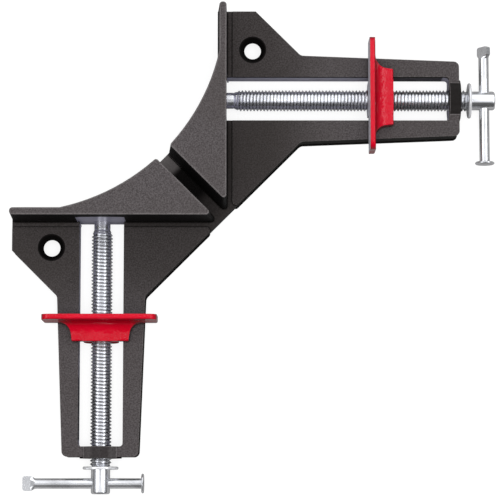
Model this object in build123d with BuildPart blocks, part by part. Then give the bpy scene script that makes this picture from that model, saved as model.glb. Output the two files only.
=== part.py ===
from build123d import *
import math
import os

# Corner clamp: a cast right-angle body with two arms, and on each arm a screw-driven jaw.
# Millimetres. The origin is the corner where the planes of the two clamping faces meet,
# on the bench. +Z is up, the right arm runs along +X and the lower arm along -Y.
# The two arms mirror each other across the plane of the mitre groove, y = -x.

# Heights above the bench
work_height = 12.0
fence_rise = 20.0
spindle_height = 6.8
plate_thickness = 4.0
relief_depth = 0.8

# Plan of the casting, given for the right arm
arm_axis = 46.1
arm_root_half = 16.2
corner_step = 2.4
arm_tip_half = 13.95
ear_reach = 10.75
arm_corner_radius = 2.0
arm_root_radius = 2.5
relief_width = 2.1
pad_corner_radius = 1.2
pad_edge = 0.5

# Fences, the block behind them and the mitre groove
fence_thickness = 2.6
fence_draft = 2.3
base_draft = 3.0
arc_radius = 75.1
arc_setback = 0.9
groove_width = 6.9
groove_draft = 3.0
groove_tip_radius = 1.0
top_edge = 0.4
fence_end_flat = 0.2

# Slot, the milled recess in the fence face and the boss on the end bar
slot_width = 16.4
slot_length = 82.6
end_bar_thickness = 3.75
slot_corner_radius = 1.2
rib_depth = 9.5
recess_width = 17.8
recess_depth = 0.4
recess_height = 13.0
recess_rise = 0.8
boss_radius = 7.7
boss_proud = 0.5

# Hollow underside
skirt_wall = 3.0
block_wall = 3.5
fence_rib = 0.6
block_roof = 3.5
pocket_radius = 1.5
pocket_tip = 4.8
pocket_step = 0.6

# Screw holes in the ears
ear_hole_reach = 9.6
ear_hole_side = 18.4
ear_hole_diameter = 6.2
ear_sink_diameter = 9.8
ear_boss_diameter = 15.0
ear_boss_bore = 10.6
ear_land = 1.0

# Spindle: an M8 rolled thread with a plain journal and a plain head
thread_diameter = 7.85
journal_diameter = 6.0
head_diameter = 7.0
shoulder_reach = 2.7
journal_end_wall = 1.75
end_play = 3.05
head_length = 10.0
edge_chamfer = 0.4
groove_diameter = 4.0

# Pin that holds the journal in the fence
pin_diameter = 3.0
pin_inset = 3.0
pin_bottom = 0.6
pin_rise = 3.6

# Collar washer
washer_diameter = 13.1
washer_thickness = 1.0
washer_edge = 0.25

# Jaw, with its position from the fence at rest
jaw_opening = {"right": 52.5, "lower": 35.3}
jaw_width = 41.8
jaw_rise = 13.5
jaw_thickness = 1.9
jaw_back_draft = 0.4
jaw_corner_radius = 3.0
jaw_depth = 9.1
jaw_foot_width = 20.6
jaw_foot_draft = 8.0
jaw_foot_height = 3.8
jaw_sweep_radius = 5.0
jaw_flare_radius = 4.5
jaw_edge_radius = 0.7
nut_radius = 6.4

# Handle bar, with how far it is slid through its hole at rest
bar_diameter = 3.8
bar_length = 44.4
bar_inset = 3.9
bar_shift = {"right": -1.8, "lower": 6.3}
button_diameter = 7.2
button_thickness = 0.9
blade_length = 4.6
blade_taper = 1.6
blade_width = 5.4
blade_thickness = 1.8
blade_corner_radius = 0.9
blade_turn = {"right": 55.0, "lower": 0.0}

# Clearances
running_clearance = 0.08
jaw_clearance = 0.15
pin_clearance = 0.02
blind_clearance = 0.3

# Worked out from the sizes above
floor_height = work_height - relief_depth
fence_top = work_height + fence_rise
block_rise = fence_top - floor_height
fence_foot = fence_thickness + block_rise * math.tan(math.radians(fence_draft))
fence_end_radius = (fence_thickness - fence_end_flat) / 2
arm_root = arm_axis - arm_root_half - corner_step
base_end = arm_axis + arm_root_half + arm_root - ear_reach
arc_foot_radius = arc_radius - block_rise * math.tan(math.radians(fence_draft))
plate_underside = work_height - plate_thickness
rib_bottom = work_height - rib_depth
arm_length = slot_length + end_bar_thickness
arc_centre = arc_radius + arc_setback
pin_top = spindle_height + pin_rise
thread_end = arm_length + boss_proud + end_play
head_end = thread_end + head_length
bar_reach = head_end - bar_inset
trim = 4.0
far = 200.0
match = 0.1
mitre = Plane(origin=(0, 0, 0), x_dir=(0, 0, 1), z_dir=(1, 1, 0))

# An arm's own frame starts on the fence face, under the spindle, and runs outwards.
# away is +1 or -1: the side of the arm that faces away from the corner.
arms = {
    "right": {"origin": (0, arm_axis, 0), "out": (1, 0, 0), "away": 1},
    "lower": {"origin": (-arm_axis, 0, 0), "out": (0, -1, 0), "away": -1},
}


def arm_plane(side, height=0.0):
    """Level plane of an arm: x outwards along the spindle, z up."""
    arm = arms[side]
    x, y, _ = arm["origin"]
    return Plane(origin=(x, y, height), x_dir=arm["out"], z_dir=(0, 0, 1))


def across_plane(side, reach, height=spindle_height):
    """Plane across an arm at a distance from the fence face, facing outwards, with y up."""
    level = arm_plane(side, height)
    return Plane(origin=level.from_local_coords((reach, 0, 0)), x_dir=level.y_dir, z_dir=level.x_dir)


def side_plane(side, reach, height=spindle_height):
    """Upright plane along an arm: x outwards, y up, facing sideways."""
    level = arm_plane(side, height)
    return Plane(origin=level.from_local_coords((reach, 0, 0)), x_dir=level.x_dir, z_dir=-level.y_dir)


def mirrored(point):
    """The point of the lower arm that matches a point of the right arm."""
    return (-point[1], -point[0])


def both_arms(points):
    """An outline's right half, then its mirror image in reverse order."""
    return points + [mirrored(point) for point in reversed(points)]


def arc_touch(reach, radius):
    """Where the concave arc of a given radius crosses the line x = -reach."""
    return arc_centre - math.sqrt(radius**2 - (arc_centre - reach) ** 2)


def groove_touch(distance, radius):
    """Where the arc crosses a line that runs along the mitre at a distance, on the right arm's side."""
    along = math.sqrt(radius**2 - distance**2)
    return (-arc_centre + (distance + along) / math.sqrt(2), arc_centre + (distance - along) / math.sqrt(2))


def arc_middle(radius):
    """Middle of the concave arc, on the mitre line."""
    middle = arc_centre - radius / math.sqrt(2)
    return (-middle, middle)


def at(*points):
    """Filter for the vertices of a sketch that lie at one of the given points of its plane."""
    return lambda vertex: any(math.hypot(vertex.X - x, vertex.Y - y) < match for x, y in points)


def block_depth(distance, height):
    """Thickness of the casting behind a fence face, at a distance from the corner, in its base."""
    inset = (floor_height - height) * math.tan(math.radians(base_draft))
    return arc_centre - math.sqrt((arc_foot_radius + inset) ** 2 - (arc_centre - distance) ** 2)


# Plan outline of the whole casting at the level of its relief channel
arm_tip_corners = [(arm_length, arm_axis + arm_tip_half), (arm_length, arm_axis - arm_tip_half)]
arm_root_corners = [(arm_root, arm_axis + arm_root_half), (arm_root, arm_axis - arm_root_half)]
right_outline = [
    (-fence_foot, arc_touch(fence_foot, arc_foot_radius)),
    (-fence_foot, base_end),
    (ear_reach, base_end),
    arm_root_corners[0],
    *arm_tip_corners,
    arm_root_corners[1],
]

with BuildSketch(Plane.XY.offset(floor_height)) as plan:
    with BuildLine():
        Polyline(*both_arms(right_outline))
        ThreePointArc(mirrored(right_outline[0]), arc_middle(arc_foot_radius), right_outline[0])
    make_face()
    fillet(plan.vertices().filter_by(at(*both_arms(arm_tip_corners))), arm_corner_radius)
    fillet(plan.vertices().filter_by(at(*both_arms(arm_root_corners))), arm_root_radius)

# Work surface pads: the plan without the relief channel along the two fences
pad_corner = (relief_width, relief_width + corner_step)
channel_inside = [(relief_width, far), (relief_width, -relief_width), (-far, -relief_width), (-far, far)]

with BuildSketch(Plane.XY.offset(floor_height)) as pads:
    add(plan.sketch)
    with BuildLine():
        Polyline(*channel_inside, close=True)
    make_face(mode=Mode.SUBTRACT)
    fillet(pads.vertices().filter_by(at(pad_corner, mirrored(pad_corner))), pad_corner_radius)

with BuildSketch(Plane.XY.offset(work_height)) as pad_tops:
    add(pads.sketch)
    offset(amount=-pad_edge, kind=Kind.INTERSECTION, mode=Mode.REPLACE)

# Fence block, in two halves with the mitre groove between them. Each half is a fence with the
# block behind it. The clamping face is upright, and the back, the end and the groove are drafted
def half_block(height, inset=0.0):
    """Section of the right half of the fence block at a height above the bench, drawn in by an inset."""
    growth = (fence_top - height) * math.tan(math.radians(fence_draft))
    thickness = fence_thickness + growth
    radius = arc_radius - growth
    half_groove = groove_width / 2 - (fence_top - height) * math.tan(math.radians(groove_draft))
    end = base_end - block_rise * math.tan(math.radians(fence_draft)) + growth
    ends = [(-thickness, end), (0, end)]
    tip = (0, half_groove * math.sqrt(2))
    back = (-thickness, arc_touch(thickness, radius))
    with BuildSketch(Plane.XY.offset(height)) as section:
        with BuildLine():
            Polyline(groove_touch(half_groove, radius), tip, ends[1], ends[0], back)
            RadiusArc(back, groove_touch(half_groove, radius), radius)
        make_face()
        fillet(section.vertices().filter_by(at(*ends)), fence_end_radius)
        fillet(section.vertices().filter_by(at(tip, groove_touch(half_groove, radius))), groove_tip_radius)
        if inset:
            offset(amount=-inset, kind=Kind.INTERSECTION, mode=Mode.REPLACE)
    return section.sketch


with BuildPart() as fence_block:
    loft([half_block(floor_height), half_block(fence_top - top_edge)], ruled=True)
    loft([half_block(fence_top - top_edge), half_block(fence_top, top_edge)], ruled=True)
    mirror(about=mitre)

# Hollow underside: what is left is the skirt, the ribs along the slots and under the fences,
# and the bosses of the ear holes
base_inset = floor_height * math.tan(math.radians(base_draft))
skirt_inset = skirt_wall + base_inset
rib_half = slot_width / 2 + skirt_wall
deep_reach = arm_root - arm_root_radius
ear_centres = [(ear_hole_reach, arm_axis + ear_hole_side)]
ear_centres.append(mirrored(ear_centres[0]))
fence_corner = [(-far, -fence_rib), (-far, far), (fence_rib, far), (fence_rib, -fence_rib)]

with BuildSketch() as underside:
    with BuildLine():
        offset(plan.sketch.face().outer_wire().edges(), amount=-skirt_inset, kind=Kind.INTERSECTION)
    make_face()
    with BuildLine():
        Polyline(*fence_corner, close=True)
    make_face(mode=Mode.SUBTRACT)
    with Locations(*ear_centres):
        Circle(ear_boss_diameter / 2, mode=Mode.SUBTRACT)

with BuildSketch() as web_pockets:
    add(underside.sketch)
    offset(amount=-pocket_step, kind=Kind.INTERSECTION, mode=Mode.REPLACE)
    for side, arm in arms.items():
        with Locations(arm_plane(side).location):
            Rectangle(far, 2 * rib_half, align=(Align.MIN, Align.CENTER), mode=Mode.SUBTRACT)
            with Locations((deep_reach, 0)):
                Rectangle(far, far, align=(Align.MIN, Align.CENTER), mode=Mode.SUBTRACT)

# Pocket inside the right half of the block, inset from the fence, the groove and the arc
pocket_arc = arc_radius + block_wall
pocket_groove = groove_width / 2 + block_wall
pocket_reach = block_wall + pocket_tip
pocket_side = arc_centre - math.sqrt(pocket_arc**2 - (arc_centre - pocket_reach) ** 2)
groove_end = groove_touch(pocket_groove, pocket_arc)

with BuildSketch() as block_pockets:
    with BuildLine():
        Polyline(
            groove_end,
            (-block_wall, block_wall + pocket_groove * math.sqrt(2)),
            (-block_wall, pocket_side),
            (-pocket_reach, pocket_side),
        )
        RadiusArc((-pocket_reach, pocket_side), groove_end, pocket_arc)
    make_face()
    fillet(block_pockets.vertices(), pocket_radius)
    mirror(about=mitre)

# The journal goes as deep as the block behind the fence lets it
journal_depth = block_depth(arm_axis, spindle_height) - journal_end_wall - blind_clearance
pin_reach = journal_depth - pin_inset
pin_offset = groove_diameter / 2 + running_clearance + pin_diameter / 2

with BuildSketch() as foot:
    with BuildLine():
        offset(plan.sketch.face().outer_wire().edges(), amount=-base_inset, kind=Kind.INTERSECTION)
    make_face()

with BuildPart() as body_casting:
    loft([foot.sketch, plan.sketch], ruled=True)
    extrude(pads.sketch, amount=relief_depth - pad_edge, dir=(0, 0, 1))
    for pad, pad_top in zip(pads.faces().sort_by(Axis.X), pad_tops.faces().sort_by(Axis.X)):
        loft([pad.moved(Pos(0, 0, relief_depth - pad_edge)), pad_top], ruled=True)
    add(fence_block.part)
    extrude(underside.sketch, amount=rib_bottom, dir=(0, 0, 1), mode=Mode.SUBTRACT)
    extrude(web_pockets.sketch, amount=plate_underside, dir=(0, 0, 1), mode=Mode.SUBTRACT)
    extrude(block_pockets.sketch, amount=fence_top - block_roof, dir=(0, 0, 1), mode=Mode.SUBTRACT)

    for side, arm in arms.items():
        # slot through the arm, with rounded corners at the end bar
        with BuildSketch(arm_plane(side)) as slot:
            Rectangle(slot_length, slot_width, align=(Align.MIN, Align.CENTER))
            fillet(slot.vertices().sort_by(Axis.X)[-2:], slot_corner_radius)
        extrude(amount=far, dir=(0, 0, 1), mode=Mode.SUBTRACT)

        # half-round boss round the spindle on the end bar
        with BuildSketch(across_plane(side, slot_length)):
            Circle(boss_radius)
            with Locations((0, -spindle_height)):
                Rectangle(far, far, align=(Align.CENTER, Align.MIN), mode=Mode.INTERSECT)
        extrude(amount=arm_length + boss_proud - slot_length)

        # recess milled into the fence face over the slot, with an arched top
        with BuildSketch(across_plane(side, -recess_depth, 0)):
            with BuildLine():
                recess_top = work_height + recess_height
                shoulder = recess_top - recess_rise
                Polyline(
                    (-recess_width / 2, shoulder),
                    (-recess_width / 2, 0),
                    (recess_width / 2, 0),
                    (recess_width / 2, shoulder),
                )
                ThreePointArc((recess_width / 2, shoulder), (0, recess_top), (-recess_width / 2, shoulder))
            make_face()
        extrude(amount=recess_depth, mode=Mode.SUBTRACT)

        # blind hole for the journal, hole for the thread and hole for the journal's pin
        with BuildSketch(across_plane(side, -journal_depth - blind_clearance)):
            Circle(journal_diameter / 2 + running_clearance)
        extrude(amount=journal_depth + blind_clearance, mode=Mode.SUBTRACT)
        with BuildSketch(across_plane(side, slot_length - trim)):
            Circle(thread_diameter / 2 + running_clearance)
        extrude(amount=arm_length - slot_length + 2 * trim, mode=Mode.SUBTRACT)
        with BuildSketch(arm_plane(side)):
            with Locations((-pin_reach, arm["away"] * pin_offset)):
                Circle(pin_diameter / 2 + pin_clearance)
        extrude(amount=pin_top + blind_clearance, mode=Mode.SUBTRACT)

    # countersunk screw holes in the ears, each over a tubular boss
    sink_depth = plate_thickness - ear_land
    sink_angle = 2 * math.degrees(math.atan((ear_sink_diameter - ear_hole_diameter) / 2 / sink_depth))
    with Locations(Plane.XY.offset(work_height)):
        with Locations(*ear_centres):
            CounterSinkHole(
                ear_hole_diameter / 2,
                ear_sink_diameter / 2,
                depth=work_height,
                counter_sink_angle=sink_angle,
            )
    with BuildSketch():
        with Locations(*ear_centres):
            Circle(ear_boss_bore / 2)
    extrude(amount=plate_underside, mode=Mode.SUBTRACT)

os.makedirs("parts", exist_ok=True)
body_casting.part.label = "body_casting"
export_step(body_casting.part, "parts/body_casting.step")


def make_spindle(side):
    """Rolled-thread spindle: grooved journal, thread at its crest diameter, plain cross-drilled head."""
    journal = journal_diameter / 2
    thread = thread_diameter / 2
    head = head_diameter / 2
    groove = groove_diameter / 2
    groove_end_reach = -pin_reach - pin_diameter / 2 - running_clearance
    groove_start_reach = -pin_reach + pin_diameter / 2 + running_clearance
    line = side_plane(side, 0)
    with BuildPart() as spindle:
        with BuildSketch(line):
            with BuildLine():
                Polyline(
                    (-journal_depth, 0),
                    (-journal_depth, journal - edge_chamfer),
                    (-journal_depth + edge_chamfer, journal),
                    (groove_end_reach, journal),
                    (groove_end_reach, groove),
                    (groove_start_reach, groove),
                    (groove_start_reach, journal),
                    (shoulder_reach, journal),
                    (shoulder_reach + thread - journal, thread),
                    (thread_end, thread),
                    (thread_end, head),
                    (head_end - edge_chamfer, head),
                    (head_end, head - edge_chamfer),
                    (head_end, 0),
                    close=True,
                )
            make_face()
        revolve(axis=Axis(line.origin, line.x_dir))
        with BuildSketch(side_plane(side, bar_reach)):
            Circle(bar_diameter / 2 + running_clearance)
        extrude(amount=head_diameter, both=True, mode=Mode.SUBTRACT)
    spindle.part.label = f"{side}_spindle"
    export_step(spindle.part, f"parts/{side}_spindle.step")


def make_collar_washer(side):
    """Flat washer pressed on the head against the end of the thread."""
    with BuildPart() as washer:
        with BuildSketch(across_plane(side, thread_end)):
            Circle(washer_diameter / 2)
            Circle(head_diameter / 2 + pin_clearance, mode=Mode.SUBTRACT)
        extrude(amount=washer_thickness)
        chamfer(washer.edges().filter_by(GeomType.CIRCLE).sort_by(SortBy.RADIUS)[-2:], washer_edge)
    washer.part.label = f"{side}_collar_washer"
    export_step(washer.part, f"parts/{side}_collar_washer.step")


def make_spindle_pin(side):
    """Slotted spring pin that stands in the fence and runs in the journal's groove."""
    with BuildPart() as pin:
        with BuildSketch(arm_plane(side, pin_bottom)):
            with Locations((-pin_reach, arms[side]["away"] * pin_offset)):
                Circle(pin_diameter / 2)
                Circle(pin_diameter / 4, mode=Mode.SUBTRACT)
                Rectangle(pin_diameter, pin_diameter / 6, align=(Align.MAX, Align.CENTER), mode=Mode.SUBTRACT)
        extrude(amount=pin_top - pin_bottom)
    pin.part.label = f"{side}_spindle_pin"
    export_step(pin.part, f"parts/{side}_spindle_pin.step")


def make_jaw(side):
    """Jaw: an upright plate swept back into a low foot, over a nut that hangs in the slot."""
    opening = jaw_opening[side]
    base = work_height + jaw_clearance
    top = work_height + jaw_rise
    back = jaw_thickness + jaw_back_draft
    shoulder = base + jaw_foot_height
    half = jaw_width / 2
    foot_half = jaw_foot_width / 2
    root_half = foot_half + (jaw_depth - back) * math.tan(math.radians(jaw_foot_draft))
    with BuildPart() as jaw:
        # side view: plate, sweep and foot
        with BuildSketch(side_plane(side, opening, 0)) as profile:
            with BuildLine():
                Polyline(
                    (0, base),
                    (jaw_depth, base),
                    (jaw_depth, shoulder),
                    (back, shoulder),
                    (jaw_thickness, top),
                    (0, top),
                    close=True,
                )
            make_face()
            fillet(profile.vertices().filter_by(at((jaw_thickness, top))), jaw_edge_radius)
            fillet(profile.vertices().filter_by(at((back, shoulder))), jaw_sweep_radius)
            fillet(profile.vertices().filter_by(at((jaw_depth, shoulder))), jaw_edge_radius)
        extrude(amount=half, both=True)
        # plan: the plate flares into the foot
        with BuildSketch(arm_plane(side, base)) as plan_view:
            with Locations((opening, 0)):
                Rectangle(back, jaw_width, align=(Align.MIN, Align.CENTER))
            roots = [(opening + back, -root_half), (opening + back, root_half)]
            heels = [(opening + back, -half), (opening + back, half)]
            toes = [(opening + jaw_depth, foot_half), (opening + jaw_depth, -foot_half)]
            with BuildLine():
                Polyline(*roots, *toes, close=True)
            make_face()
            fillet(plan_view.vertices().filter_by(at(*roots)), jaw_flare_radius)
            fillet(plan_view.vertices().filter_by(at(*heels)), jaw_edge_radius)
        extrude(amount=jaw_rise, mode=Mode.INTERSECT)
        # front view: rounded upper corners
        with BuildSketch(across_plane(side, opening, base)) as front:
            Rectangle(jaw_width, top - base, align=(Align.CENTER, Align.MIN))
            fillet(front.vertices().sort_by(Axis.Y)[-2:], jaw_corner_radius)
        extrude(amount=jaw_depth, mode=Mode.INTERSECT)
        # nut
        with BuildSketch(across_plane(side, opening)):
            Circle(nut_radius)
            Rectangle(2 * nut_radius, shoulder - spindle_height, align=(Align.CENTER, Align.MIN))
        extrude(amount=jaw_depth)
        with BuildSketch(across_plane(side, opening)):
            Circle(thread_diameter / 2 + running_clearance)
        extrude(amount=jaw_depth, mode=Mode.SUBTRACT)
    jaw.part.label = f"{side}_jaw"
    export_step(jaw.part, f"parts/{side}_jaw.step")


def make_handle_bar(side):
    """Sliding bar: a button head at one end, the other end flattened to keep it in the hole."""
    level = arm_plane(side, spindle_height)
    away = arms[side]["away"]
    turn = math.radians(blade_turn[side])
    flat_dir = level.x_dir * math.cos(turn) + level.z_dir * math.sin(turn)

    def station(distance):
        """Plane across the bar at a distance from the spindle, facing away from the corner."""
        origin = level.from_local_coords((bar_reach, away * (distance + bar_shift[side]), 0))
        return Plane(origin=origin, x_dir=flat_dir, z_dir=level.y_dir * away)

    start = -bar_length / 2
    blade_start = bar_length / 2 - blade_length
    with BuildPart() as bar:
        with BuildSketch(station(start)):
            Circle(button_diameter / 2)
        extrude(amount=button_thickness)
        chamfer(bar.edges().filter_by(GeomType.CIRCLE), button_thickness / 3)
        with BuildSketch(station(start)):
            Circle(bar_diameter / 2)
        extrude(amount=blade_start - start)
        with BuildSketch(station(blade_start)):
            Circle(bar_diameter / 2)
        with BuildSketch(station(blade_start + blade_taper)):
            Rectangle(blade_width, blade_thickness)
        loft()
        with BuildSketch(station(blade_start + blade_taper)):
            Rectangle(blade_width, blade_thickness)
        extrude(amount=blade_length - blade_taper)
        tip = bar.faces().sort_by(Axis(level.origin, level.y_dir * away))[-1]
        fillet(tip.edges().group_by(Edge.length)[0], blade_corner_radius)
    bar.part.label = f"{side}_handle_bar"
    export_step(bar.part, f"parts/{side}_handle_bar.step")


for side in arms:
    make_spindle(side)
    make_collar_washer(side)
    make_spindle_pin(side)
    make_jaw(side)
    make_handle_bar(side)
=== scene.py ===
import math

import bmesh
import bpy
from mathutils import Matrix, Vector


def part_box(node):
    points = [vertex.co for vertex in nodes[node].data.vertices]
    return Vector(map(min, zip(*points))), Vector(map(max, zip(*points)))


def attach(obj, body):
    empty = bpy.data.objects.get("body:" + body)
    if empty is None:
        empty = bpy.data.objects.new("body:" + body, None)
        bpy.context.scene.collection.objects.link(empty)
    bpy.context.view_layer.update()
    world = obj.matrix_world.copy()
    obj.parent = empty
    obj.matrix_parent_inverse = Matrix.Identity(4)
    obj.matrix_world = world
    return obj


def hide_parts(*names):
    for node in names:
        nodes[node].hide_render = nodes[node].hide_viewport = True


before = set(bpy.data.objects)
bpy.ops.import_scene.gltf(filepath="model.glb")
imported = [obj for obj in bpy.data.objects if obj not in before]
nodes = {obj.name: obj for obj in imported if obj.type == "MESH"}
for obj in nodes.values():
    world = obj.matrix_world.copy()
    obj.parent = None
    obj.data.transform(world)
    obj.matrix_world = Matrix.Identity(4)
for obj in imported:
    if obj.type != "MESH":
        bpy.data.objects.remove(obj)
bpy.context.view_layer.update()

scene = bpy.context.scene

MM = 0.001

# The two spindles: lengths in millimetres, the flank in degrees, the root's flat as a share of the pitch
SPINDLE_HEIGHT = 6.8
ARM_AXIS = 46.1
PITCH = 1.25
CREST = 3.925
CREST_ROUND = 0.14
ROOT = 3.25
ROOT_FLAT = 0.06
FLANK = 55.0
FLANK_STEPS = 3
RUN_IN_SLOPE = 0.42
RUN_OUT_SLOPE = 0.9
RUN_OUT_DEPTH = 0.1
JOURNAL = 3.0
JOURNAL_CHAMFER = 0.4
JOURNAL_GROOVE = 2.0
JOURNAL_LIP = 0.08
NECK_START = 0.25
NECK_FLOOR = 0.12
NECK_END = 0.02
NECK_DEPTH = 0.18
PIN_INSET = 3.0
PIN_HALF = 1.5
SHOULDER = 2.7
THREAD_END = 89.9
HEAD = 3.5
HEAD_END = 99.9
# The rounded end of the head, as steps back from its end and in from its radius
HEAD_ROUNDING = ((0.75, 0.0), (0.45, 0.08), (0.2, 0.24), (0.05, 0.5), (0.0, 0.8))
BAR_REACH = 96.0
BAR_HOLE = 2.0

# How finely the spindles are drawn, with lengths in millimetres and the sharp angle in degrees
SEGMENTS = 60
HOLE_SEGMENTS = 48
AXLE = 0.001
WELD = 0.0004
SHARP_ANGLE = 32

# Where the castings are machined, finished apart from the rest, and painted with shade and light, in
# metres
WORK_HEIGHT = 0.012
SLOT_HALF = 0.00826
SLOT_END = 0.0826
SLOT_LIP = 0.0026
BARE_FADE = (0.050, 0.062)
RECESS_HALF = 0.00895
RECESS_TOP = 0.025
RECESS_RISE = 0.0008
BOSS_HALF = 0.0058
EAR_HOLE = (0.0096, 0.0645)
EAR_SINK = 0.0051
CHANNEL_WIDTH = 0.0022
GROOVE_HALF = 0.0045
GROOVE_START = 0.010
GROOVE_LIT_END = 0.028
FENCE_SHADE_FADE = (0.014, 0.042)
CAST_FOOT = (0.016, 0.019)
STRIP_SOFT = 0.00005
CORNER_REACH = 0.001
FOOT_REACH = 0.0006

# Distances over which one finish gives way to the next, in metres
AT_FENCE = (-0.0002, 0.0001)
AT_RECESS_FLOOR = (-0.0008, -0.0006)
AT_SLOT_CORNER = (SLOT_END - 0.0028, SLOT_END - 0.0018)
AT_SLOT_END = (SLOT_END + 0.0001, SLOT_END + 0.0003)
AT_SLOT_LIP = (WORK_HEIGHT - SLOT_LIP, WORK_HEIGHT - SLOT_LIP + 0.0003)
AT_CHANNEL_FLOOR = (WORK_HEIGHT - 0.0007, WORK_HEIGHT - 0.0004)
AT_CHANNEL_SIDE = (CHANNEL_WIDTH - 0.0002, CHANNEL_WIDTH + 0.0002)
ABOVE_WORK = (WORK_HEIGHT + 0.0003, WORK_HEIGHT + 0.001)
AT_NUT = (WORK_HEIGHT - 0.0002, WORK_HEIGHT)

# Turns x + y or y - x into a distance across or along the mitre line
DIAGONAL = math.sqrt(0.5)

# Where the thread's root is painted in shade, in millimetres
ROOT_FADE = (ROOT + 0.02, ROOT + 0.18)
AFTER_SHOULDER = (SHOULDER + 0.9, SHOULDER + 1.5)
BEFORE_END = (THREAD_END - 0.3, THREAD_END)

# Colours of the powder coat, of what lies on it, and of the shade and light painted on it
COAT_DARK = (0.052, 0.046, 0.047, 1)
COAT_LIGHT = (0.118, 0.107, 0.111, 1)
COAT_DUST = (0.066, 0.058, 0.055, 1)
# lighter high edges: wear and painted highlight
COAT_WEAR_AND_HIGHLIGHT = (0.21, 0.195, 0.195, 1)
# lighter chamfers: wear and painted highlight
CHAMFER_WEAR_AND_HIGHLIGHT = (0.20, 0.185, 0.188, 1)
# painted shade on the walls
COAT_WALL_SHADE = (0.0095, 0.0088, 0.009, 1)
# brownish painted shade beside the fences
COAT_FENCE_SHADE = (0.014, 0.0115, 0.0095, 1)
COAT_CHANNEL = (0.012, 0.0105, 0.0095, 1)
# painted light where the groove opens on the arc
COAT_LIT_PATCH = (0.13, 0.12, 0.12, 1)
# painted shade on the boss at each arm's end
COAT_BOSS_SHADE = (0.011, 0.0098, 0.0095, 1)
# painted shade in the corners
COAT_CORNER_SHADE = (0.002, 0.0018, 0.0016, 1)
GROOVE_SHADE = (0.002, 0.0018, 0.0018, 1)
# painted shade at the foot of each step
STEP_SHADE = (0.001, 0.0009, 0.0008, 1)
# painted shade in the ear holes' countersinks
HOLE_SHADE = (0.003, 0.0027, 0.0025, 1)
MILLED_DARK = (0.33, 0.325, 0.42, 1)
MILLED_LIGHT = (0.47, 0.46, 0.57, 1)

# Colours of the enamel, of its painted highlight and shade, and of the face ground through it
ENAMEL_DARK = (0.55, 0.0008, 0.014, 1)
ENAMEL_LIGHT = (0.64, 0.0012, 0.021, 1)
# painted highlight on the enamel's edges
ENAMEL_EDGE_HIGHLIGHT = (0.80, 0.02, 0.05, 1)
# painted shade on the enamel's steep faces
ENAMEL_WALL_SHADE = (0.19, 0.0004, 0.004, 1)
GROUND_DARK = (0.66, 0.64, 0.72, 1)
GROUND_LIGHT = (0.82, 0.80, 0.87, 1)

# Colours of the metals
ZINC = (0.86, 0.87, 0.90)
SCREW_ZINC = (0.93, 0.94, 0.97)
SPRING_STEEL = (0.25, 0.25, 0.27)
# painted shade in the thread's root
THREAD_ROOT_SHADE = (0.36, 0.36, 0.38, 1)

# Finish of the surfaces: patterns as noise scales, rounding of the edges and height of the bumps in metres
COAT_GRAIN = 1900
COAT_PEBBLE = 2600
COAT_CLOUD = 30
COAT_ROUNDING = 0.0005
COAT_BUMP = 0.00013
COAT_BUMP_STRENGTH = 0.55
COAT_ROUGHNESS = (0.50, 0.66)
COAT_IOR = 1.13
MILLED_LINES = 900
MILLED_METALLIC = 0.35
MILLED_ROUGHNESS = 0.4
ENAMEL_WAVE = 380
ENAMEL_CLOUD = 60
ENAMEL_ROUNDING = 0.0007
ENAMEL_BUMP = 0.0006
ENAMEL_ROUGHNESS = 0.1
ENAMEL_IOR = 1.36
NUT_ROUGHNESS = 0.7
GROUND_LINES = 700
GROUND_METALLIC = 0.15
GROUND_ROUGHNESS = 0.45
METAL_CLOUD = 130
METAL_LINES = 900
METAL_BUMP = 0.00006
METAL_BUMP_STRENGTH = 0.05

# The studio
FLOOR_HALF = 3.0
FLOOR_DROP = 0.0002
FLOOR_COLOUR = (0.24, 0.24, 0.24, 1)
FLOOR_SEEN = 0.84
FLOOR_REFLECTED = 0.08
TENT_COLOUR = (0.97, 0.98, 1.0, 1)
TENT_STRENGTH = 1.1
SKY_COLOUR = (1.0, 0.99, 0.98, 1)
# How the light changes with direction: from, to, and its share before and after
HORIZON = (0.14, 0.34, 0.07, 1.0)
OPENING = (0.975, 0.992, 1.0, 0.4)
SOUTH = (-0.60, -0.08, 0.03, 1.15)
BRIGHT_SIDES = (0.50, 0.56, 1.0, 2.6)
DARK_SIDES = (0.72, 0.78, 1.0, 0.12)
SKY = (0.0, 0.9, 0.25, 0.86)
WHITE = (1, 1, 1, 1)
LAMP_PLACE = (0.05, -0.12, 1.25)
LAMP_SIZE = 0.6
LAMP_POWER = 8.0

# The camera of the photograph: lens and sensor in millimetres, place in metres, turn in degrees
CAMERA_LENS = 161.54
SENSOR_WIDTH = 36.0
CLIP_NEAR = 0.05
CLIP_FAR = 20.0
CAMERA_PLACE = (0.005421, -0.106795, 0.83218)
CAMERA_TURN = (6.69092, -0.22013, 0.02109)

ARMS = {
    "right": {"origin": Vector((0, ARM_AXIS, SPINDLE_HEIGHT)), "out": Vector((1, 0, 0))},
    "lower": {"origin": Vector((-ARM_AXIS, 0, SPINDLE_HEIGHT)), "out": Vector((0, -1, 0))},
}


def metres(lengths):
    """Millimetres to metres."""
    return [length * MM for length in lengths]


def arm_matrix(side):
    """Arm frame to row frame in metres: x outwards along the spindle, z up."""
    arm = ARMS[side]
    x = arm["out"]
    z = Vector((0, 0, 1))
    y = z.cross(x)
    matrix = Matrix((x, y, z)).transposed().to_4x4()
    matrix.translation = arm["origin"]
    return Matrix.Scale(MM, 4) @ matrix


# Shader helpers


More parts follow.
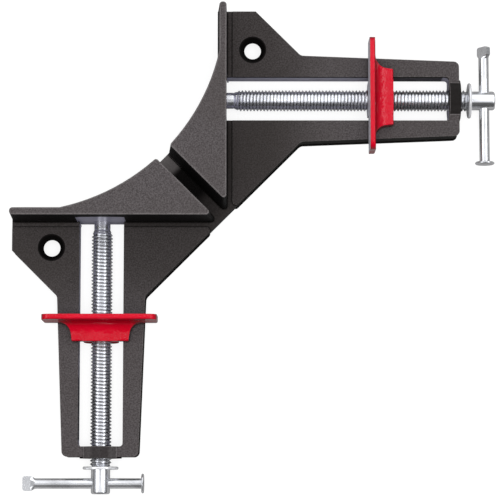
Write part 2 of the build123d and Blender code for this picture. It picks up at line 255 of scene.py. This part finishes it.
class Graph:
    """Short hand for a material's node tree."""

    def __init__(self, name):
        self.material = bpy.data.materials.new(name)
        self.material.use_nodes = True
        self.tree = self.material.node_tree
        self.tree.nodes.clear()
        self.output = self.add("ShaderNodeOutputMaterial")
        self.shader = self.add("ShaderNodeBsdfPrincipled")
        self.link(self.shader.outputs[0], self.output.inputs["Surface"])
        self.coords = self.add("ShaderNodeTexCoord")

    def add(self, kind, **settings):
        node = self.tree.nodes.new(kind)
        for key, value in settings.items():
            setattr(node, key, value)
        return node

    def link(self, a, b):
        self.tree.links.new(a, b)

    def put(self, socket, value):
        """Link a socket to another socket, or give it a plain value."""
        if isinstance(value, bpy.types.NodeSocket):
            self.link(value, socket)
        else:
            socket.default_value = value

    def set(self, **values):
        """Give the shader its inputs, by name."""
        for key, value in values.items():
            self.put(self.shader.inputs[key.replace("_", " ").title()], value)

    def position(self, scale):
        mapping = self.add("ShaderNodeMapping")
        mapping.inputs["Scale"].default_value = scale
        self.link(self.coords.outputs["Object"], mapping.inputs["Vector"])
        return mapping.outputs["Vector"]

    def noise(self, scale, detail, rough, vector=None):
        node = self.add("ShaderNodeTexNoise")
        node.inputs["Scale"].default_value = scale
        node.inputs["Detail"].default_value = detail
        node.inputs["Roughness"].default_value = rough
        self.link(vector if vector is not None else self.coords.outputs["Object"], node.inputs["Vector"])
        return node.outputs["Fac"]

    def math(self, operation, a, b=0.0):
        node = self.add("ShaderNodeMath", operation=operation)
        self.put(node.inputs[0], a)
        self.put(node.inputs[1], b)
        return node.outputs[0]

    def times(self, product, *factors):
        for factor in factors:
            product = self.math("MULTIPLY", product, factor)
        return product

    def rest(self, share):
        """What a share leaves of 1."""
        return self.math("SUBTRACT", 1.0, share)

    def squares(self, a, b):
        """The sum of two squares."""
        return self.math("ADD", self.times(a, a), self.times(b, b))

    def span(self, value, low, high, out_low=0.0, out_high=1.0):
        node = self.add("ShaderNodeMapRange", interpolation_type="SMOOTHSTEP")
        self.put(node.inputs["Value"], value)
        node.inputs["From Min"].default_value = low
        node.inputs["From Max"].default_value = high
        node.inputs["To Min"].default_value = out_low
        node.inputs["To Max"].default_value = out_high
        return node.outputs["Result"]

    def mix(self, factor, a, b):
        node = self.add("ShaderNodeMix", data_type="RGBA")
        self.put(node.inputs["Factor"], factor)
        self.put(node.inputs["A"], a)
        self.put(node.inputs["B"], b)
        return node.outputs["Result"]

    def axes(self, socket):
        node = self.add("ShaderNodeSeparateXYZ")
        self.link(socket, node.inputs[0])
        return node.outputs

    def edges(self, radius):
        """Normal rounded over the edges, and a mask that is 1 on edges that stand out."""
        bevel = self.add("ShaderNodeBevel", samples=6)
        bevel.inputs["Radius"].default_value = radius
        geometry = self.add("ShaderNodeNewGeometry")
        same = self.add("ShaderNodeVectorMath", operation="DOT_PRODUCT")
        self.link(bevel.outputs["Normal"], same.inputs[0])
        self.link(geometry.outputs["Normal"], same.inputs[1])
        turned_away = self.span(same.outputs["Value"], 0.90, 0.995, 1.0, 0.0)
        return bevel.outputs["Normal"], self.times(turned_away, self.open_air(radius * 5))

    def open_air(self, reach, low=0.45, high=0.9):
        """1 where nothing stands near the surface, 0 deep in a corner."""
        shade = self.add("ShaderNodeAmbientOcclusion", samples=6)
        shade.inputs["Distance"].default_value = reach
        return self.span(shade.outputs["AO"], low, high)

    def bump(self, height, strength, distance, normal=None):
        node = self.add("ShaderNodeBump")
        node.inputs["Strength"].default_value = strength
        node.inputs["Distance"].default_value = distance
        self.link(height, node.inputs["Height"])
        if normal is not None:
            self.link(normal, node.inputs["Normal"])
        return node.outputs["Normal"]


# Places on the clamp, as masks


def beside_axis(g, place, side):
    """How far a point lies beside a spindle's line, with a sign."""
    if side == "right":
        return g.math("SUBTRACT", place["Y"], ARM_AXIS * MM)
    return g.math("ADD", place["X"], ARM_AXIS * MM)


def strip(g, place, half, start, end, before, after):
    """Strip on each spindle's line, with a value that changes between two distances from the fences."""
    reach = {
        "right": g.span(place["X"], start, end, before, after),
        "lower": g.span(place["Y"], -end, -start, after, before),
    }
    masks = []
    for side in ARMS:
        gap = g.math("ABSOLUTE", beside_axis(g, place, side))
        masks.append(g.times(g.span(gap, half - STRIP_SOFT, half + STRIP_SOFT, 1.0, 0.0), reach[side]))
    return g.math("MAXIMUM", *masks)


def end_boss(g, place):
    """1 on the boss at each arm's end."""
    return strip(g, place, BOSS_HALF, *AT_SLOT_END, 0.0, 1.0)


def ear_sink(g, place, x, y):
    """1 in the countersunk hole whose centre is x, y."""
    square = g.squares(g.math("SUBTRACT", place["X"], x), g.math("SUBTRACT", place["Y"], y))
    return g.span(square, 0.95 * EAR_SINK ** 2, EAR_SINK ** 2, 1.0, 0.0)


def milled_slots(g, place):
    """The slots' walls below their upper edge: bare near the fences, fading mostly to the coat further
    out, and bare in the far corners.
    """
    near_fence = strip(g, place, SLOT_HALF, *BARE_FADE, 1.0, 0.12)
    corner = strip(g, place, SLOT_HALF, *AT_SLOT_CORNER, 0.0, 1.0)
    below_edge = g.span(place["Z"], *AT_SLOT_LIP, 1.0, 0.0)
    past_fence = strip(g, place, SLOT_HALF, *AT_FENCE, 0.0, 1.0)
    before_end = strip(g, place, SLOT_HALF, *AT_SLOT_END, 1.0, 0.0)
    return g.times(g.math("MAXIMUM", near_fence, corner), below_edge, past_fence, before_end)


def milled_recess(g, place):
    """The recess in each fence face, up to its low arch. The face above it keeps its paint."""
    behind_face = strip(g, place, RECESS_HALF, *AT_FENCE, 1.0, 0.0)
    in_front = strip(g, place, RECESS_HALF, *AT_RECESS_FLOOR, 0.0, 1.0)
    asides = [g.math("ABSOLUTE", beside_axis(g, place, side)) for side in ARMS]
    aside = g.math("MINIMUM", *asides)
    arch = g.math("ADD", g.times(aside, aside, RECESS_RISE / RECESS_HALF ** 2), place["Z"])
    return g.times(behind_face, in_front, g.span(arch, RECESS_TOP - 0.0001, RECESS_TOP, 1.0, 0.0))


# Materials


def coat_wear_and_shade(g, facing, grain, edge):
    """The coat by which way a face looks: dusty above, with high edges and chamfers lighter as wear and
    painted highlight, painted shade in the corners and painted black shade on the walls.
    """
    cloud = g.noise(COAT_CLOUD, 3.0, 0.5)
    paint = g.mix(g.span(grain, 0.3, 0.7), COAT_DARK, COAT_LIGHT)
    paint = g.mix(g.span(cloud, 0.35, 0.7, 0.0, 0.35), paint, COAT_DUST)
    # painted shade in the corners, and high edges lighter as wear and painted highlight
    paint = g.mix(g.rest(g.open_air(CORNER_REACH, 0.55, 0.95)), paint, COAT_CORNER_SHADE)
    paint = g.mix(g.times(edge, g.span(grain, 0.35, 0.6, 0.25, 0.9)), paint, COAT_WEAR_AND_HIGHLIGHT)
    # the walls are painted near black, as shade
    paint = g.mix(g.span(facing["Z"], 0.35, 0.85, 1.0, 0.0), paint, COAT_WALL_SHADE)
    # chamfers are lighter in speckles, as wear and painted highlight
    sloping = g.times(g.span(facing["Z"], 0.5, 0.66), g.span(facing["Z"], 0.86, 0.95, 1.0, 0.0))
    speckles = g.span(grain, 0.3, 0.6, 0.35, 0.8)
    return g.mix(g.times(sloping, speckles, g.open_air(CORNER_REACH)), paint, CHAMFER_WEAR_AND_HIGHLIGHT)


def painted_shade_and_light(g, place, paint):
    """The coat with painted shade beside the fences, at the foot of each step, in the groove and in the
    ear holes, a painted lit patch where the groove opens on the arc, and the relief channels darker.
    """
    # brownish painted shade beside the fences, where their shadow falls
    near, far = FENCE_SHADE_FADE
    near_right = g.span(place["X"], near, far, 1.0, 0.0)
    near_lower = g.span(place["Y"], -far, -near)
    low = g.span(place["Z"], *ABOVE_WORK, 1.0, 0.0)
    beside = g.times(g.math("MINIMUM", near_right, near_lower), low)

    # the relief channel, darker, and the thin line of painted shade at the foot of the step up to each pad
    sunk = g.span(place["Z"], *AT_CHANNEL_FLOOR, 1.0, 0.0)
    by_right = g.span(place["X"], *AT_CHANNEL_SIDE, 1.0, 0.0)
    by_lower = g.span(g.times(place["Y"], -1.0), *AT_CHANNEL_SIDE, 1.0, 0.0)
    channel = g.times(sunk, g.math("MAXIMUM", by_right, by_lower))
    foot = g.times(channel, g.rest(g.open_air(FOOT_REACH, 0.72, 0.97)))

    # the mitre groove is painted in deep shade half way, and painted lit where it opens on the arc
    outward = g.times(g.math("SUBTRACT", place["Y"], place["X"]), DIAGONAL)
    across = g.math("ABSOLUTE", g.times(g.math("ADD", place["X"], place["Y"]), DIAGONAL))
    groove = g.span(across, GROOVE_HALF, GROOVE_HALF + 0.0005, 1.0, 0.0)
    arc_end = g.span(outward, GROOVE_LIT_END - 0.003, GROOVE_LIT_END)
    channel = g.times(channel, g.rest(arc_end))
    half_way = g.span(outward, GROOVE_START, GROOVE_START + 0.005)

    # painted shade in the countersunk ear holes
    ear_x, ear_y = EAR_HOLE
    sinks = g.math("MAXIMUM", ear_sink(g, place, ear_x, ear_y), ear_sink(g, place, -ear_y, -ear_x))
    # each layer lies over the one before: where, how thick, and its colour
    layers = [
        (beside, 0.56, COAT_FENCE_SHADE),
        (channel, 0.5, COAT_CHANNEL),
        (g.times(arc_end, low, groove), 0.85, COAT_LIT_PATCH),
        (foot, 1.0, STEP_SHADE),
        (g.times(channel, half_way, groove), 0.9, GROOVE_SHADE),
        (sinks, 0.95, HOLE_SHADE),
    ]
    for mask, thickness, colour in layers:
        paint = g.mix(g.times(mask, thickness), paint, colour)
    return paint


def powder_coat():
    """Black powder coat with a fine pebble, bare metal where the slots and fence recesses are milled."""
    g = Graph("powder_coat")
    place = g.axes(g.coords.outputs["Object"])
    facing = g.axes(g.coords.outputs["Normal"])
    grain = g.noise(COAT_GRAIN, 2.0, 0.7)
    pebble = g.noise(COAT_PEBBLE, 2.0, 0.6)
    rounded, edge = g.edges(COAT_ROUNDING)
    paint = painted_shade_and_light(g, place, coat_wear_and_shade(g, facing, grain, edge))

    # painted shade darkens the boss, more on the right arm
    boss = end_boss(g, place)
    paint = g.mix(g.times(boss, g.span(place["X"], 0.0, 0.01, 0.6, 0.93)), paint, COAT_BOSS_SHADE)
    upright = g.span(g.math("ABSOLUTE", facing["Z"]), 0.2, 0.3, 1.0, 0.0)
    milled = g.math("MAXIMUM", milled_slots(g, place), milled_recess(g, place))
    bare = g.times(milled, upright, g.rest(boss))
    coated = g.rest(bare)
    lines = g.noise(MILLED_LINES, 2.0, 0.5, g.position((0.15, 0.15, 4.0)))
    metal = g.mix(lines, MILLED_DARK, MILLED_LIGHT)
    g.set(base_color=g.mix(bare, paint, metal))
    g.set(metallic=g.times(bare, MILLED_METALLIC))
    coat_rough = g.times(g.span(grain, 0.3, 0.7, *COAT_ROUGHNESS), coated)
    g.set(roughness=g.math("ADD", coat_rough, g.times(bare, MILLED_ROUGHNESS)))
    height = g.times(g.math("ADD", pebble, grain), coated)
    g.set(normal=g.bump(height, COAT_BUMP_STRENGTH, COAT_BUMP, rounded))
    g.shader.inputs["IOR"].default_value = COAT_IOR
    return g.material


def red_enamel():
    """Glossy red enamel over a casting that is rough at its foot, with the clamping face ground bare."""
    g = Graph("red_enamel")
    wave = g.noise(ENAMEL_WAVE, 3.0, 0.5)
    cloud = g.noise(ENAMEL_CLOUD, 2.0, 0.5)
    rounded, edge = g.edges(ENAMEL_ROUNDING)
    slope = g.axes(g.coords.outputs["Normal"])["Z"]
    place = g.axes(g.coords.outputs["Object"])
    paint = g.mix(g.span(cloud, 0.3, 0.7), ENAMEL_DARK, ENAMEL_LIGHT)
    # convex edges painted lighter red, as a highlight
    paint = g.mix(g.times(edge, 0.3), paint, ENAMEL_EDGE_HIGHLIGHT)
    # steep faces painted darker red, as shade
    paint = g.mix(g.span(slope, 0.3, 0.97, 0.8, 0.0), paint, ENAMEL_WALL_SHADE)

    # each jaw is bare on the face that looks at its own fence
    geometry = g.add("ShaderNodeNewGeometry")
    facing = g.axes(geometry.outputs["True Normal"])
    on_right = g.math("GREATER_THAN", g.math("ADD", place["X"], place["Y"]), 0.0)
    front_right = g.times(facing["X"], -1.0, on_right)
    front_lower = g.times(facing["Y"], g.rest(on_right))
    bare = g.span(g.math("MAXIMUM", front_right, front_lower), 0.985, 0.995)
    lines = g.noise(GROUND_LINES, 2.0, 0.5, g.position((1.0, 1.0, 6.0)))
    metal = g.mix(lines, GROUND_DARK, GROUND_LIGHT)
    g.set(base_color=g.mix(bare, paint, metal))
    g.set(metallic=g.times(bare, GROUND_METALLIC))
    # the nut under the work surface is dull, the rest is glossy
    nut = g.span(place["Z"], *AT_NUT, NUT_ROUGHNESS, ENAMEL_ROUGHNESS)
    g.set(roughness=g.math("MAXIMUM", nut, g.times(bare, GROUND_ROUGHNESS)))
    height = g.times(wave, g.span(place["Z"], *CAST_FOOT, 1.0, 0.3))
    g.set(normal=g.bump(height, 1.0, ENAMEL_BUMP, rounded))
    g.shader.inputs["IOR"].default_value = ENAMEL_IOR
    return g.material


def bright_zinc(name, colour=ZINC, dark=0.7, rough=0.16, stretch=(1, 1, 1), metal=1.0, side=None):
    """Bright zinc plate: cool, lightly clouded, with fine drawn lines, and painted darker as shade down in
    a thread.
    """
    g = Graph(name)
    cloud = g.noise(METAL_CLOUD, 3.0, 0.5)
    lines = g.noise(METAL_LINES, 2.0, 0.5, g.position(stretch))
    shade = tuple(c * dark for c in colour)
    base = g.mix(g.span(cloud, 0.25, 0.62), shade + (1,), colour + (1,))
    if side:
        place = g.axes(g.coords.outputs["Object"])
        reach = place["X"] if side == "right" else g.times(place["Y"], -1.0)
        lift = g.math("SUBTRACT", place["Z"], SPINDLE_HEIGHT * MM)
        radius = g.math("SQRT", g.squares(beside_axis(g, place, side), lift))
        low = g.span(radius, *metres(ROOT_FADE), 1.0, 0.0)
        after = g.span(reach, *metres(AFTER_SHOULDER))
        before = g.span(reach, *metres(BEFORE_END), 1.0, 0.0)
        # the thread's root is painted darker, as shade
        base = g.mix(g.times(low, after, before), base, THREAD_ROOT_SHADE)
    g.set(base_color=base)
    g.shader.inputs["Metallic"].default_value = metal
    g.set(roughness=g.span(cloud, 0.3, 0.75, rough * 1.5, rough))
    g.set(normal=g.bump(lines, METAL_BUMP_STRENGTH, METAL_BUMP))
    return g.material


def bar_zinc(side, stretch):
    return bright_zinc(f"bright_zinc_{side}_bar", stretch=stretch, metal=0.8, rough=0.14)


def screw_zinc(side, stretch):
    name = f"bright_zinc_{side}_screw"
    return bright_zinc(name, colour=SCREW_ZINC, stretch=stretch, dark=0.95, metal=0.94, side=side)


powder = powder_coat()
enamel = red_enamel()
zinc_bar = {"right": bar_zinc("right", (4, 0.1, 4)), "lower": bar_zinc("lower", (0.1, 4, 4))}
zinc_screw = {"right": screw_zinc("right", (0.3, 2, 2)), "lower": screw_zinc("lower", (2, 0.3, 2))}
zinc_flat = bright_zinc("bright_zinc_washer", dark=0.95, rough=0.2, metal=0.4)
spring = bright_zinc("spring_steel", colour=SPRING_STEEL, rough=0.35)


def dress(node, material):
    """Give a carried-over node its material."""
    obj = nodes[node]
    obj.data.materials.clear()
    obj.data.materials.append(material)


dress("body_casting", powder)
for side in ARMS:
    dress(f"{side}_jaw", enamel)
    dress(f"{side}_collar_washer", zinc_flat)
    dress(f"{side}_spindle_pin", spring)
    dress(f"{side}_handle_bar", zinc_bar[side])


# Spindles with their threads, made in the arm frame in millimetres


def turned(bm, profile):
    """Revolve (reach, radius) pairs about the arm's x axis."""
    rows = []
    for reach, radius in profile:
        ring = []
        for k in range(SEGMENTS):
            angle = 2 * math.pi * k / SEGMENTS
            ring.append(bm.verts.new((reach, radius * math.cos(angle), radius * math.sin(angle))))
        rows.append(ring)
    for a, b in zip(rows, rows[1:]):
        for i in range(SEGMENTS):
            j = (i + 1) % SEGMENTS
            bm.faces.new((a[i], a[j], b[j], b[i]))


def thread_form():
    """One pitch of the thread as (fraction of the pitch, radius): root, flank, round crest, flank."""
    form = [(0.0, ROOT), (ROOT_FLAT, ROOT)]
    for step in range(-FLANK_STEPS, FLANK_STEPS + 1):
        slope = math.radians(FLANK * step / FLANK_STEPS)
        fraction = 0.5 + CREST_ROUND * math.sin(slope) / PITCH
        form.append((fraction, CREST - CREST_ROUND * (1 - math.cos(slope))))
    form.append((1 - ROOT_FLAT, ROOT))
    return form


def thread(bm, start, end):
    """A left-hand helical thread between two reaches, run out at both ends."""
    form = thread_form()
    rows = []
    # there are turns to spare at both ends: what lies outside is held at the limits
    for turn in range(-1, int((end - start) / PITCH) + 3):
        for fraction, radius in form:
            ring = []
            for k in range(SEGMENTS + 1):
                share = k / SEGMENTS
                reach = start + (turn + fraction - share) * PITCH
                reach = min(max(reach, start), end)
                run_in = JOURNAL + (reach - start) * RUN_IN_SLOPE
                run_out = ROOT - RUN_OUT_DEPTH + (end - reach) * RUN_OUT_SLOPE
                limited = min(radius, run_in, run_out)
                angle = 2 * math.pi * share
                ring.append(bm.verts.new((reach, limited * math.cos(angle), limited * math.sin(angle))))
            rows.append(ring)
    for a, b in zip(rows, rows[1:]):
        for i in range(SEGMENTS):
            bm.faces.new((a[i], a[i + 1], b[i + 1], b[i]))
    # at the seam, a ring's end meets the start of the ring one turn back
    pairs = {}
    for ring, back in zip(rows[len(form):], rows):
        pairs[ring[-1]] = back[0]
    bmesh.ops.weld_verts(bm, targetmap=pairs)


def close_up(bm):
    """Weld what meets and turn all faces outwards."""
    bmesh.ops.remove_doubles(bm, verts=bm.verts, dist=WELD)
    bmesh.ops.dissolve_degenerate(bm, edges=bm.edges, dist=WELD)
    bmesh.ops.recalc_face_normals(bm, faces=bm.faces)


def make_object(name, bm):
    mesh = bpy.data.meshes.new(name)
    bm.to_mesh(mesh)
    bm.free()
    obj = bpy.data.objects.new(name, mesh)
    scene.collection.objects.link(obj)
    return obj


def drilled_head():
    """Mesh of the head with the hole for the handle bar across it."""
    rounding = [(HEAD_END - back, HEAD - inwards) for back, inwards in HEAD_ROUNDING]
    head = bmesh.new()
    turned(head, [(THREAD_END, AXLE), (THREAD_END, HEAD), *rounding, (HEAD_END, AXLE)])
    close_up(head)
    drill = bmesh.new()
    across = Matrix.Translation((BAR_REACH, 0, 0)) @ Matrix.Rotation(math.radians(90), 4, "X")
    bmesh.ops.create_cone(
        drill,
        cap_ends=True,
        segments=HOLE_SEGMENTS,
        radius1=BAR_HOLE,
        radius2=BAR_HOLE,
        depth=4 * HEAD,
        matrix=across,
    )
    close_up(drill)
    head_solid = make_object("head", head)
    drill_solid = make_object("drill", drill)
    hole = head_solid.modifiers.new("hole", "BOOLEAN")
    hole.operation = "DIFFERENCE"
    hole.solver = "EXACT"
    hole.object = drill_solid
    depsgraph = bpy.context.evaluated_depsgraph_get()
    result = bpy.data.meshes.new_from_object(head_solid.evaluated_get(depsgraph))
    for solid in (head_solid, drill_solid):
        bpy.data.objects.remove(solid)
    return result


def make_spindle(side):
    """The spindle: grooved journal, thread and drilled head, in place of the plain CAD spindle."""
    low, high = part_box(f"{side}_spindle")
    depth = (-low.x if side == "right" else high.y) / MM
    pin = depth - PIN_INSET
    journal = [
        (-depth, AXLE),
        (-depth, JOURNAL - JOURNAL_CHAMFER),
        (-depth + JOURNAL_CHAMFER, JOURNAL),
        (-pin - PIN_HALF - JOURNAL_LIP, JOURNAL),
        (-pin - PIN_HALF, JOURNAL_GROOVE),
        (-pin + PIN_HALF, JOURNAL_GROOVE),
        (-pin + PIN_HALF + JOURNAL_LIP, JOURNAL),
        (SHOULDER - NECK_START, JOURNAL),
        (SHOULDER - NECK_FLOOR, JOURNAL - NECK_DEPTH),
        (SHOULDER - NECK_END, JOURNAL - NECK_DEPTH),
        (SHOULDER, JOURNAL),
    ]
    bm = bmesh.new()
    turned(bm, journal)
    thread(bm, SHOULDER, THREAD_END)
    turned(bm, [(THREAD_END, ROOT - RUN_OUT_DEPTH), (THREAD_END, AXLE)])
    close_up(bm)
    head = drilled_head()
    bm.from_mesh(head)
    bpy.data.meshes.remove(head)
    bm.transform(arm_matrix(side))
    bm.normal_update()
    for face in bm.faces:
        face.smooth = True
    # edges sharper than the limit stay hard
    limit = math.radians(SHARP_ANGLE)
    for edge in bm.edges:
        edge.smooth = len(edge.link_faces) == 2 and edge.calc_face_angle(0.0) < limit
    obj = make_object(f"{side}_threaded_spindle", bm)
    obj.data.materials.append(zinc_screw[side])
    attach(obj, f"{side}_screw")
    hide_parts(f"{side}_spindle")


for side in ARMS:
    make_spindle(side)

# Floor, light and camera


def make_floor():
    """A white floor that keeps the clamp's shadow. Shiny surfaces see it dimmer than the camera does."""
    g = Graph("studio_floor")
    g.tree.nodes.remove(g.shader)
    path = g.add("ShaderNodeLightPath")
    through = g.math("MAXIMUM", path.outputs["Is Glossy Ray"], path.outputs["Is Transmission Ray"])
    direct = g.times(path.outputs["Is Camera Ray"], FLOOR_SEEN)
    diffuse = g.add("ShaderNodeBsdfDiffuse")
    diffuse.inputs["Color"].default_value = FLOOR_COLOUR
    glow = g.add("ShaderNodeEmission")
    glow.inputs["Color"].default_value = WHITE
    g.put(glow.inputs["Strength"], g.math("MAXIMUM", direct, g.times(through, FLOOR_REFLECTED)))
    sum_shader = g.add("ShaderNodeAddShader")
    g.link(diffuse.outputs[0], sum_shader.inputs[0])
    g.link(glow.outputs[0], sum_shader.inputs[1])
    g.link(sum_shader.outputs[0], g.output.inputs["Surface"])
    corners = [
        (-FLOOR_HALF, -FLOOR_HALF, 0),
        (FLOOR_HALF, -FLOOR_HALF, 0),
        (FLOOR_HALF, FLOOR_HALF, 0),
        (-FLOOR_HALF, FLOOR_HALF, 0),
    ]
    mesh = bpy.data.meshes.new("floor")
    mesh.from_pydata(corners, [], [(0, 1, 2, 3)])
    mesh.materials.append(g.material)
    floor = bpy.data.objects.new("floor", mesh)
    floor.location.z = -FLOOR_DROP
    scene.collection.objects.link(floor)


def make_lamp():
    """One large soft lamp, left out of the reflections."""
    data = bpy.data.lights.new("key", "AREA")
    data.energy = LAMP_POWER
    data.size = LAMP_SIZE
    lamp = bpy.data.objects.new("key", data)
    scene.collection.objects.link(lamp)
    lamp.visible_glossy = False
    lamp.location = LAMP_PLACE
    lamp.rotation_euler = (-Vector(LAMP_PLACE)).to_track_quat("-Z", "Y").to_euler()


def make_world():
    """A studio: a soft sky for matt surfaces, and a white tent with dark gaps for shiny ones."""
    world = bpy.data.worlds.new("studio")
    scene.world = world
    world.use_nodes = True
    tree = world.node_tree
    tree.nodes.clear()

    def add(kind, **settings):
        node = tree.nodes.new(kind)
        for key, value in settings.items():
            setattr(node, key, value)
        return node

    def put(socket, value):
        if isinstance(value, bpy.types.NodeSocket):
            tree.links.new(value, socket)
        else:
            socket.default_value = value

    def span(value, low, high, out_low, out_high):
        node = add("ShaderNodeMapRange", interpolation_type="SMOOTHSTEP")
        put(node.inputs["Value"], value)
        put(node.inputs["From Min"], low)
        put(node.inputs["From Max"], high)
        put(node.inputs["To Min"], out_low)
        put(node.inputs["To Max"], out_high)
        return node.outputs["Result"]

    def math_node(operation, a, b=0.0):
        node = add("ShaderNodeMath", operation=operation)
        put(node.inputs[0], a)
        put(node.inputs[1], b)
        return node.outputs[0]

    def background(colour, strength):
        node = add("ShaderNodeBackground")
        node.inputs["Color"].default_value = colour
        put(node.inputs["Strength"], strength)
        return node.outputs[0]

    def choose(share, otherwise, shader):
        node = add("ShaderNodeMixShader")
        put(node.inputs["Fac"], share)
        put(node.inputs[1], otherwise)
        put(node.inputs[2], shader)
        return node.outputs[0]

    coords = add("ShaderNodeTexCoord")
    parts = add("ShaderNodeSeparateXYZ")
    put(parts.inputs[0], coords.outputs["Generated"])
    up = parts.outputs["Z"]
    sideways = math_node("ABSOLUTE", parts.outputs["X"])
    # what shiny surfaces reflect: a dark horizon, a dimmer opening overhead, a dark south side
    height = math_node("MULTIPLY", span(up, *HORIZON), span(up, *OPENING))
    south = span(parts.outputs["Y"], *SOUTH)
    # a brighter strip on each side gives the rounded edges their highlights
    sides = math_node("MULTIPLY", span(sideways, *BRIGHT_SIDES), span(sideways, *DARK_SIDES))
    share = math_node("MULTIPLY", height, math_node("MULTIPLY", south, sides))
    tent = background(TENT_COLOUR, math_node("MULTIPLY", share, TENT_STRENGTH))
    # what lights the matt surfaces: a soft sky, strongest overhead
    sky = background(SKY_COLOUR, span(up, *SKY))
    path = add("ShaderNodeLightPath")
    lit = choose(path.outputs["Is Glossy Ray"], sky, tent)
    seen = choose(path.outputs["Is Camera Ray"], lit, background(WHITE, 1.0))
    out = add("ShaderNodeOutputWorld")
    put(out.inputs["Surface"], seen)


def make_camera():
    data = bpy.data.cameras.new("camera")
    data.lens = CAMERA_LENS
    data.sensor_width = SENSOR_WIDTH
    data.clip_start = CLIP_NEAR
    data.clip_end = CLIP_FAR
    camera = bpy.data.objects.new("camera", data)
    scene.collection.objects.link(camera)
    turn = Matrix.Identity(4)
    for angle, axis in zip(CAMERA_TURN, "XYZ"):
        turn = turn @ Matrix.Rotation(math.radians(angle), 4, axis)
    camera.matrix_world = Matrix.Translation(CAMERA_PLACE) @ turn
    scene.camera = camera


make_floor()
make_world()
make_lamp()
make_camera()

scene.view_settings.view_transform = "Standard"
